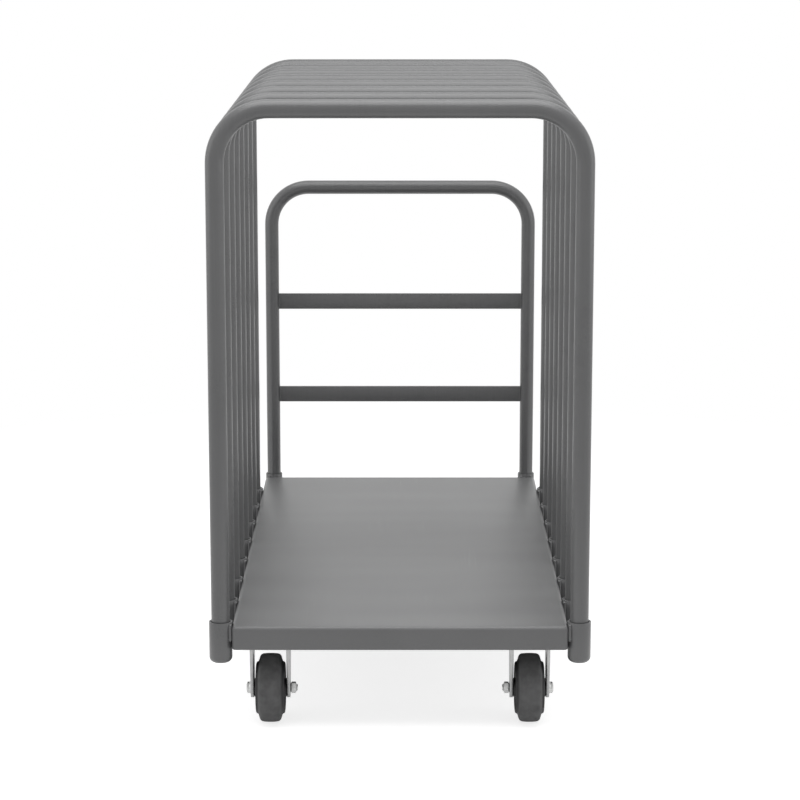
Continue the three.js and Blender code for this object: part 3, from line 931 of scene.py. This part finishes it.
class CART_OT_hoop_sockets(Operator):
    """Draws the first hoop socket and copies it along both sides of the deck"""

    bl_idname = "cart.hoop_sockets"
    bl_label = "Hoop sockets"

    def execute(self, context):
        sizes = context.scene.cart_sheet
        cup = socket_cup("socket_left_1", "hoop_socket_left_1", sizes.hoop_socket_wall, sizes)
        keys = [f"{side}_{hoop}" for side in SIDES for hoop in HOOPS]
        spread(cup, keys, "socket_{}", "hoop_socket_{}", "cart_frame", "powder coat")
        return {"FINISHED"}


class CART_OT_handle(Operator):
    """Bends the push handle, and makes its two flat bars and its sockets"""

    bl_idname = "cart.handle"
    bl_label = "Push handle"

    def execute(self, context):
        sizes = context.scene.cart_sheet
        tube = bent_tube("push_handle", "handle_tube", sizes.handle_wall, sizes.handle_bend, sizes)
        dress(tube, "powder coat", "handle", "handle_tube")
        for level in BARS:
            node = f"handle_bar_{level}"
            bar = start_block(f"{level}_handle_bar", *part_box(node))
            pick_edges(lambda place, run: abs(run.x) > ALIGNED)
            round_edges(sizes.bar_edge, ROUND_STEPS)
            close()
            dress(bar, "powder coat", "handle", node)
        cup = socket_cup("handle_cup_left", "handle_socket_left", sizes.handle_socket_wall, sizes)
        spread(cup, list(SIDES), "handle_cup_{}", "handle_socket_{}", "cart_frame", "powder coat")
        return {"FINISHED"}


class CART_OT_welds(Operator):
    """Lays the weld beads beside the sockets and at the ends of the handle's bars"""

    bl_idname = "cart.welds"
    bl_label = "Welds"

    def reach(self, node, width):
        """How far beside a socket's middle a bead fills the gap between the socket and the skirt."""
        low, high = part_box(node)
        radius = (high.x - low.x) / 2
        return math.sqrt(radius ** 2 - (radius - width) ** 2) - width / 2

    def socket_places(self, width):
        """Where the beads stand beside the hoops' and the handle's sockets."""
        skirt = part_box("deck_pan")[1] + Vector((width, width, 0)) / 2
        for side, sign in SIDES.items():
            for hoop in HOOPS:
                node = f"hoop_socket_{side}_{hoop}"
                for way in BOTH_WAYS:
                    yield skirt.x * sign, middle_of(node).y + way * self.reach(node, width), 0
        for side in SIDES:
            node = f"handle_socket_{side}"
            for way in BOTH_WAYS:
                yield middle_of(node).x + way * self.reach(node, width), skirt.y, 0

    def bar_places(self):
        """Where the beads stand at the ends of the handle's bars."""
        for level in BARS:
            low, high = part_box(f"handle_bar_{level}")
            for x in (low.x, high.x):
                for y in (low.y, high.y):
                    yield Vector((x, y, (low.z + high.z) / 2))

    def execute(self, context):
        sizes = context.scene.cart_sheet
        deck_low, deck_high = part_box("deck_pan")
        bottom = deck_low.z + sizes.weld_drop
        top = (deck_high.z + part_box("hoop_socket_left_1")[1].z) / 2
        width = sizes.socket_weld
        middle = Vector((0, 0, (top + bottom) / 2))
        first = weld_bead(middle, width * sizes.weld_overlap, top - bottom, sizes)
        beads = [copy_piece(first, "bead", place) for place in self.socket_places(width)]
        bpy.data.objects.remove(first)
        dress(join(beads, "socket_welds"), "powder coat", "cart_frame")
        bar_low, bar_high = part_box("handle_bar_upper")
        height = bar_high.z - bar_low.z - 2 * sizes.bar_edge
        bar_beads = [weld_bead(place, sizes.bar_weld, height, sizes) for place in self.bar_places()]
        dress(join(bar_beads, "handle_bar_welds"), "powder coat", "handle")
        return {"FINISHED"}


class CART_OT_rigid_casters(Operator):
    """Makes the two rigid caster frames: a top plate with a fork under it"""

    bl_idname = "cart.rigid_casters"
    bl_label = "Rigid casters"

    def execute(self, context):
        sizes = context.scene.cart_casters
        name = "rigid_caster_left"
        node = "rigid_caster_frame_left"
        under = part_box(node)[1].z - sizes.plate
        axle = middle_of("tyre_front_left")
        plate = top_plate(name, node, sizes)
        legs = fork("legs", middle_of(node), under, axle, sizes.rigid_crown, sizes)
        caster = join([plate, legs], name)
        sides = list(SIDES)
        spread(caster, sides, "rigid_caster_{}", "rigid_caster_frame_{}", "cart_frame", "fork zinc")
        return {"FINISHED"}


class CART_OT_swivel_casters(Operator):
    """Makes the two swivel casters: plate and upper race, fork and lower race, and kingpin"""

    bl_idname = "cart.swivel_casters"
    bl_label = "Swivel casters"

    def plate_and_race(self, middle, race, sizes):
        """The top plate with the upper race under it."""
        node = "swivel_caster_plate_left"
        plate = top_plate("swivel_plate_left", node, sizes)
        wide = sizes.upper_race_radius
        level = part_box(node)[1].z - sizes.plate - race / 2
        spot = (middle.x, middle.y, level)
        upper = start_cone("race", sizes.wheel_facets, wide - sizes.race_taper, wide, spot, race)
        close()
        soften(upper, sizes.cast_edge, ROUND_STEPS)
        return [plate, upper]

    def fork_and_race(self, middle, race, sizes):
        """The fork with the lower race on its crown."""
        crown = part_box("swivel_caster_fork_left")[1].z - race
        axle = middle_of("tyre_rear_left")
        legs = fork("swivel_fork_left", middle, crown, axle, sizes.swivel_crown, sizes)
        spot = (middle.x, middle.y, crown + race / 2)
        lower = start_round("race", sizes.wheel_facets, sizes.lower_race_radius, spot, race)
        pick_edges(lambda place, run: place.z < crown + NEAR)
        round_edges(sizes.race_taper, sizes.fold_steps)
        close()
        soften(lower, sizes.edge)
        return [legs, lower]

    def kingpin(self, middle, sizes):
        """The kingpin, with its round head below."""
        low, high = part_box("swivel_kingpin_left")
        head_radius = (high.x - low.x) / 2
        head_top = low.z + sizes.kingpin_head
        spot = (middle.x, middle.y, low.z + sizes.kingpin_head / 2)
        pin = start_round("kingpin_left", sizes.bolt_facets, head_radius, spot, sizes.kingpin_head)
        pick_edges(lambda place, run: place.z < low.z + NEAR)
        round_edges(sizes.kingpin_head / 2, ROUND_STEPS)
        pick_faces(lambda place, normal: place.z > head_top - NEAR)
        bpy.ops.mesh.inset(thickness=head_radius - sizes.kingpin / 2)
        extrude(z=high.z - head_top)
        close()
        soften(pin, sizes.edge)
        return pin

    def execute(self, context):
        sizes = context.scene.cart_casters
        middle = middle_of("swivel_caster_plate_left")
        race = (sizes.race - sizes.race_gap) / 2
        plate = self.plate_and_race(middle, race, sizes)
        legs = self.fork_and_race(middle, race, sizes)
        for piece in plate + legs:
            drill(piece, middle, sizes.kingpin / 2 + sizes.kingpin_clearance)
        plate = join(plate, "swivel_plate_left")
        legs = join(legs, "swivel_fork_left")
        pin = self.kingpin(middle, sizes)
        sides = list(SIDES)
        spread(plate, sides, "swivel_plate_{}", "swivel_caster_plate_{}", "cart_frame", "fork zinc")
        spread(legs, sides, "swivel_fork_{}", "swivel_caster_fork_{}", "swivel_{}", "fork zinc")
        spread(pin, sides, "kingpin_{}", "swivel_kingpin_{}", "cart_frame", "bolt zinc")
        return {"FINISHED"}


class CART_OT_wheels(Operator):
    """Turns the first tyre and wheel core and copies them to the other three wheels"""

    bl_idname = "cart.wheels"
    bl_label = "Wheels"

    def open_bore(self, middle):
        """Joins the two inner faces of a turned piece into its bore."""
        pick_faces(lambda place, normal: abs(normal.x) > ALIGNED and (place - middle).yz.length < NEAR)
        bpy.ops.mesh.bridge_edge_loops()

    def tyre(self, sizes):
        """The tyre of the first wheel, with its tread marked as rolled."""
        low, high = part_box("tyre_front_left")
        core_low, core_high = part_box("wheel_core_front_left")
        middle = (low + high) / 2
        bore = (core_high.z - core_low.z) / 2 + NEAR
        tread = (high.z - low.z) / 2
        edge = tread - sizes.tread_crown
        shoulder = tread - sizes.shoulder_depth
        bead = tread - sizes.bead_depth
        widths = (sizes.tread_flat, sizes.tread, sizes.shoulder, high.x - low.x)
        radii = (tread, edge, shoulder, bead)
        tyre = start_round("front_left_tyre", sizes.wheel_facets, tread, middle, widths[0], ALONG_X)
        for way in BOTH_WAYS:
            pick_faces(lambda place, normal: normal.x * way > ALIGNED)
            for ring in range(1, len(widths)):
                extrude(x=way * (widths[ring] - widths[ring - 1]) / 2)
                share = radii[ring] / radii[ring - 1]
                scale_about(middle, 1, share, share)
            bpy.ops.mesh.inset(thickness=bead - bore)
        self.open_bore(middle)
        pick_edges(lambda place, run: abs(abs(place.x - middle.x) - sizes.tread / 2) < NEAR)
        round_edges(sizes.tread_round, TREAD_STEPS)
        close()
        soften(tyre, sizes.tyre_round, ROUND_STEPS)
        fade = sizes.shoulder_depth / 2
        rolled = tyre.data.attributes.new("rolled", "FLOAT", "POINT")
        for vertex, mark in zip(tyre.data.vertices, rolled.data):
            radius = (vertex.co - middle).yz.length
            mark.value = min(1.0, max(0.0, (radius - shoulder) / fade))
        return tyre

    def core(self, sizes):
        """The core of the first wheel: rim, web and hub."""
        low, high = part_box("wheel_core_front_left")
        middle = (low + high) / 2
        rim = (high.z - low.z) / 2
        hub_half = (high.x - low.x) / 2
        core = start_round("front_left_core", sizes.wheel_facets, rim, middle, sizes.rim_width, ALONG_X)
        for way in BOTH_WAYS:
            pick_faces(lambda place, normal: normal.x * way > ALIGNED)
            bpy.ops.mesh.inset(thickness=sizes.rim_thickness)
            extrude(x=way * (sizes.web - sizes.rim_width) / 2)
            bpy.ops.mesh.inset(thickness=rim - sizes.rim_thickness - sizes.hub_radius)
            extrude(x=way * (hub_half - sizes.web / 2))
            bpy.ops.mesh.inset(thickness=sizes.hub_radius - sizes.axle / 2 - sizes.axle_clearance)
        self.open_bore(middle)
        close()
        soften(core, sizes.cast_edge, ROUND_STEPS)
        return core

    def execute(self, context):
        sizes = context.scene.cart_casters
        keys = [f"{end}_{side}" for end, side in CORNERS]
        tyre = self.tyre(sizes)
        core = self.core(sizes)
        spread(tyre, keys, "{}_tyre", "tyre_{}", "wheel_{}", "moulded rubber")
        spread(core, keys, "{}_core", "wheel_core_{}", "wheel_{}", "cast core")
        return {"FINISHED"}


class CART_OT_axles(Operator):
    """Makes the first axle bolt and nut and copies them to the other three wheels"""

    bl_idname = "cart.axles"
    bl_label = "Axles"

    def shank(self, axis, low, high, thread_end, sizes):
        """The shank along X from under the head, with a thread cut from the nut to its end."""
        turns = round((thread_end - low) / sizes.thread_pitch)
        plain = low + turns * sizes.thread_pitch
        middle = Vector(((high + plain) / 2, axis.y, axis.z))
        shank = start_round("shank", sizes.bolt_facets, sizes.axle / 2, middle, high - plain, ALONG_X)
        pick_faces(lambda place, normal: normal.x < -ALIGNED)
        root = 1 - 2 * sizes.thread_depth / sizes.axle
        for turn in range(turns):
            crest = 1 / root if turn < turns - 1 else 1
            for share in (root, crest):
                extrude(x=-sizes.thread_pitch / 2)
                scale_about(axis, 1, share, share)
        close()
        return shank

    def bolt(self, nut_low, flats, sizes):
        """The front right bolt: a flanged hexagon head and a threaded shank."""
        low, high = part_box("axle_bolt_front_right")
        axis = (low + high) / 2
        name = "front_right_axle_bolt"
        under = high.x - sizes.axle_head
        head_middle = Vector((high.x - sizes.axle_head / 2, axis.y, axis.z))
        head = hexagon(name, flats, head_middle, sizes.axle_head, sizes, ALONG_X, (1,))
        soften(head, sizes.nut_edge)
        spot = (under + sizes.axle_flange / 2, axis.y, axis.z)
        radii = (sizes.axle_flange_radius, flats / 2)
        flange = start_cone("flange", sizes.hexagon_facets, *radii, spot, sizes.axle_flange, ALONG_X)
        close()
        soften(flange, sizes.edge)
        shank = self.shank(axis, low.x, head_middle.x, nut_low.x, sizes)
        return join([head, flange, shank], name)

    def nut(self, low, high, flats, sizes):
        """The front right nut."""
        middle = (low + high) / 2
        nut = hexagon("front_right_axle_nut", flats, middle, high.x - low.x, sizes, ALONG_X)
        drill(nut, middle, sizes.axle / 2 + NEAR, ALONG_X)
        soften(nut, sizes.nut_edge)
        return nut

    def execute(self, context):
        sizes = context.scene.cart_casters
        low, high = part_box("axle_nut_front_right")
        flats = high.z - low.z
        bolt = self.bolt(low, flats, sizes)
        nut = self.nut(low, high, flats, sizes)
        for kind, first in (("axle_bolt", bolt), ("axle_nut", nut)):
            axis = middle_of(f"{kind}_front_right")
            centre = Vector((0, axis.y, axis.z))
            mirrored = copy_piece(first, f"front_left_{kind}", half_turn_about=centre)
            for side, front in (("left", mirrored), ("right", first)):
                front_node = f"{kind}_front_{side}"
                rear_node = f"{kind}_rear_{side}"
                shift = middle_of(rear_node) - middle_of(front_node)
                rear = copy_piece(front, f"rear_{side}_{kind}", shift)
                dress(front, "bolt zinc", "cart_frame", front_node)
                dress(rear, "bolt zinc", f"swivel_{side}", rear_node)
        return {"FINISHED"}


class CART_OT_plate_bolts(Operator):
    """Bolts each caster's top plate to its bolster, with washers and nuts"""

    bl_idname = "cart.plate_bolts"
    bl_label = "Plate bolts"

    def bolt(self, place, over, sizes):
        """A bolt from a place under a plate up through the bolster, with its washers and nut."""
        head_top = place.z - sizes.washer
        nut_bottom = over + sizes.washer
        top = nut_bottom + sizes.bolt_nut + sizes.bolt_end

        def at(level):
            """The bolt's axis at a height."""
            return Vector((place.x, place.y, level))

        head_middle = at(head_top - sizes.bolt_head / 2)
        nut_middle = at(nut_bottom + sizes.bolt_nut / 2)
        head = hexagon("bolt", sizes.bolt_hexagon, head_middle, sizes.bolt_head, sizes, ends=(-1,))
        shank_middle = at((top + head_top) / 2)
        shank_length = top - head_top + NEAR
        shank = start_round("shank", sizes.bolt_facets, sizes.bolt / 2, shank_middle, shank_length)
        pick_edges(lambda edge, run: edge.z > top - NEAR)
        round_edges(sizes.cast_edge, SOFTEN_STEPS)
        close()
        rings = [hexagon("nut", sizes.bolt_hexagon, nut_middle, sizes.bolt_nut, sizes)]
        for level in (head_top + sizes.washer / 2, over + sizes.washer / 2):
            middle = at(level)
            ring = start_round("washer", sizes.bolt_facets, sizes.washer_radius, middle, sizes.washer)
            close()
            rings.append(ring)
        for ring in rings:
            drill(ring, nut_middle, sizes.bolt / 2 + NEAR)
            soften(ring, sizes.nut_edge)
        return join([head, shank, *rings], "bolt")

    def execute(self, context):
        sizes = context.scene.cart_casters
        node = "rigid_caster_frame_left"
        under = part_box(node)[1].z - sizes.plate
        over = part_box("front_bolster")[0].z + context.scene.cart_sheet.channel_sheet
        places = list(bolt_places(node, under, sizes))
        first = self.bolt(places[0], over, sizes)
        copies = [copy_piece(first, "bolt", place - places[0]) for place in places[1:]]
        groups = [join([first, *copies], "plate_bolts_front_left")]
        for end, side in CORNERS[1:]:
            shift = middle_of(f"{PLATES[end]}_{side}") - middle_of(node)
            shift.z = 0
            groups.append(copy_piece(groups[0], f"plate_bolts_{end}_{side}", shift))
        for group in groups:
            dress(group, "bolt zinc", "cart_frame")
        return {"FINISHED"}


class CART_OT_stage(Operator):
    """Lays a pale floor, hangs soft lamps and sets the camera"""

    bl_idname = "cart.stage"
    bl_label = "Stage"

    def seen(self, shader):
        """1 for what the camera sees, also mirrored or through glass, and 0 for light on a surface."""
        straight = shader.add("ShaderNodeLightPath", output="Is Camera Ray")
        mirrored = shader.add("ShaderNodeLightPath", output="Is Glossy Ray")
        through = shader.add("ShaderNodeLightPath", output="Is Transmission Ray")
        return shader.between(0, 1, straight + mirrored + through)

    def floor(self, stage):
        """A pale floor that keeps the shadow and otherwise shows as white."""
        plane = {"size": stage.floor_size, "location": (0, 0, -NEAR)}
        floor = start("floor", bpy.ops.mesh.primitive_plane_add, **plane)
        rest()
        material = bpy.data.materials.new("pale floor")
        material.use_nodes = True
        shader = Shader(material.node_tree)
        matt = shader.add("ShaderNodeBsdfDiffuse", None, {"Color": (*stage.floor, 1)})
        glow = shader.add("ShaderNodeEmission", None, {"Strength": stage.floor_glow})
        white = shader.add("ShaderNodeEmission", None, {"Strength": 1.0})
        lit = shader.add("ShaderNodeAddShader", None, {0: matt, 1: glow})
        place = shader.add("ShaderNodeTexCoord", output="Object")
        away = shader.add("ShaderNodeVectorMath", {"operation": "LENGTH"}, {0: place}, "Value")
        faded = shader.fade(shader.between(stage.fade_start, stage.fade_end, away), lit, white)
        mixed = shader.fade(self.seen(shader), matt, faded)
        shader.add("ShaderNodeOutputMaterial", None, {"Surface": mixed})
        floor.data.materials.append(material)

    def room(self, stage):
        """Soft light from all round, behind a white that the camera sees."""
        world = bpy.data.worlds.new("studio")
        world.use_nodes = True
        shader = Shader(world.node_tree)
        light = {"Color": WHITE, "Strength": stage.room_light}
        soft = shader.add("ShaderNodeBackground", None, light)
        white = shader.add("ShaderNodeBackground", None, {"Color": WHITE, "Strength": 1.0})
        mixed = shader.fade(self.seen(shader), soft, white)
        shader.add("ShaderNodeOutputWorld", None, {"Surface": mixed})
        bpy.context.scene.world = world

    def lamp(self, name, place, target, size, power):
        """A square soft lamp that faces a point."""
        rest()
        bpy.ops.object.light_add(type="AREA", location=place)
        lamp = bpy.context.object
        lamp.name = name
        lamp.data.shape = "SQUARE"
        lamp.data.size = size
        lamp.data.energy = power
        lamp.rotation_euler = (Vector(target) - Vector(place)).to_track_quat("-Z", "Y").to_euler()

    def camera(self, stage):
        """A camera before the open end, looking down a little."""
        rest()
        place = (0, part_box("deck_pan")[0].y - stage.camera_distance, stage.camera_height)
        tilt = (math.pi / 2 - stage.camera_pitch, 0, 0)
        bpy.ops.object.camera_add(location=place, rotation=tilt)
        camera = bpy.context.object
        camera.data.lens = stage.lens
        camera.data.clip_end = 2 * stage.floor_size
        bpy.context.scene.camera = camera

    def execute(self, context):
        stage = context.scene.cart_stage
        low, high = CAD_BOX
        self.floor(stage)
        self.room(stage)
        place = (0, -stage.top_forward, high.z + stage.top_rise)
        self.lamp("top_lamp", place, (0, 0, 0), stage.top_size, stage.top_power)
        for side, sign in SIDES.items():
            place = (sign * stage.side_distance, -stage.side_forward, stage.side_height)
            self.lamp(f"{side}_lamp", place, (low + high) / 2, stage.side_size, stage.side_power)
        self.camera(stage)
        context.scene.view_settings.view_transform = "Standard"
        return {"FINISHED"}


class CART_PT_build(Panel):
    """Sizes, finishes and the steps of the build"""

    bl_idname = "CART_PT_build"
    bl_label = "Sheet goods cart"
    bl_space_type = "VIEW_3D"
    bl_region_type = "UI"
    bl_category = "Cart"

    def draw(self, context):
        for name, group in SETTINGS.items():
            box = self.layout.box()
            for setting in group.__annotations__:
                box.prop(getattr(context.scene, name), setting)
        for step in STEPS:
            self.layout.operator(step.bl_idname)


SETTINGS = {
    "cart_sheet": CartSheetSizes,
    "cart_casters": CartCasterSizes,
    "cart_finishes": CartFinishes,
    "cart_stage": CartStage,
}
STEPS = (
    CART_OT_deck,
    CART_OT_underframe,
    CART_OT_hoops,
    CART_OT_hoop_sockets,
    CART_OT_handle,
    CART_OT_welds,
    CART_OT_rigid_casters,
    CART_OT_swivel_casters,
    CART_OT_wheels,
    CART_OT_axles,
    CART_OT_plate_bolts,
    CART_OT_stage,
)


def register():
    """Registers the settings, the steps and the panel."""
    for name, group in SETTINGS.items():
        bpy.utils.register_class(group)
        setattr(bpy.types.Scene, name, PointerProperty(type=group))
    for step in (*STEPS, CART_PT_build):
        bpy.utils.register_class(step)


def unregister():
    """Takes them off again."""
    for step in reversed((*STEPS, CART_PT_build)):
        bpy.utils.unregister_class(step)
    for name, group in SETTINGS.items():
        delattr(bpy.types.Scene, name)
        bpy.utils.unregister_class(group)


def main():
    """Builds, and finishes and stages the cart."""
    register()
    bpy.ops.cart.deck()
    bpy.ops.cart.underframe()
    bpy.ops.cart.hoops()
    bpy.ops.cart.hoop_sockets()
    bpy.ops.cart.handle()
    bpy.ops.cart.welds()
    bpy.ops.cart.rigid_casters()
    bpy.ops.cart.swivel_casters()
    bpy.ops.cart.wheels()
    bpy.ops.cart.axles()
    bpy.ops.cart.plate_bolts()
    bpy.ops.cart.stage()


if __name__ == "__main__":
    main()
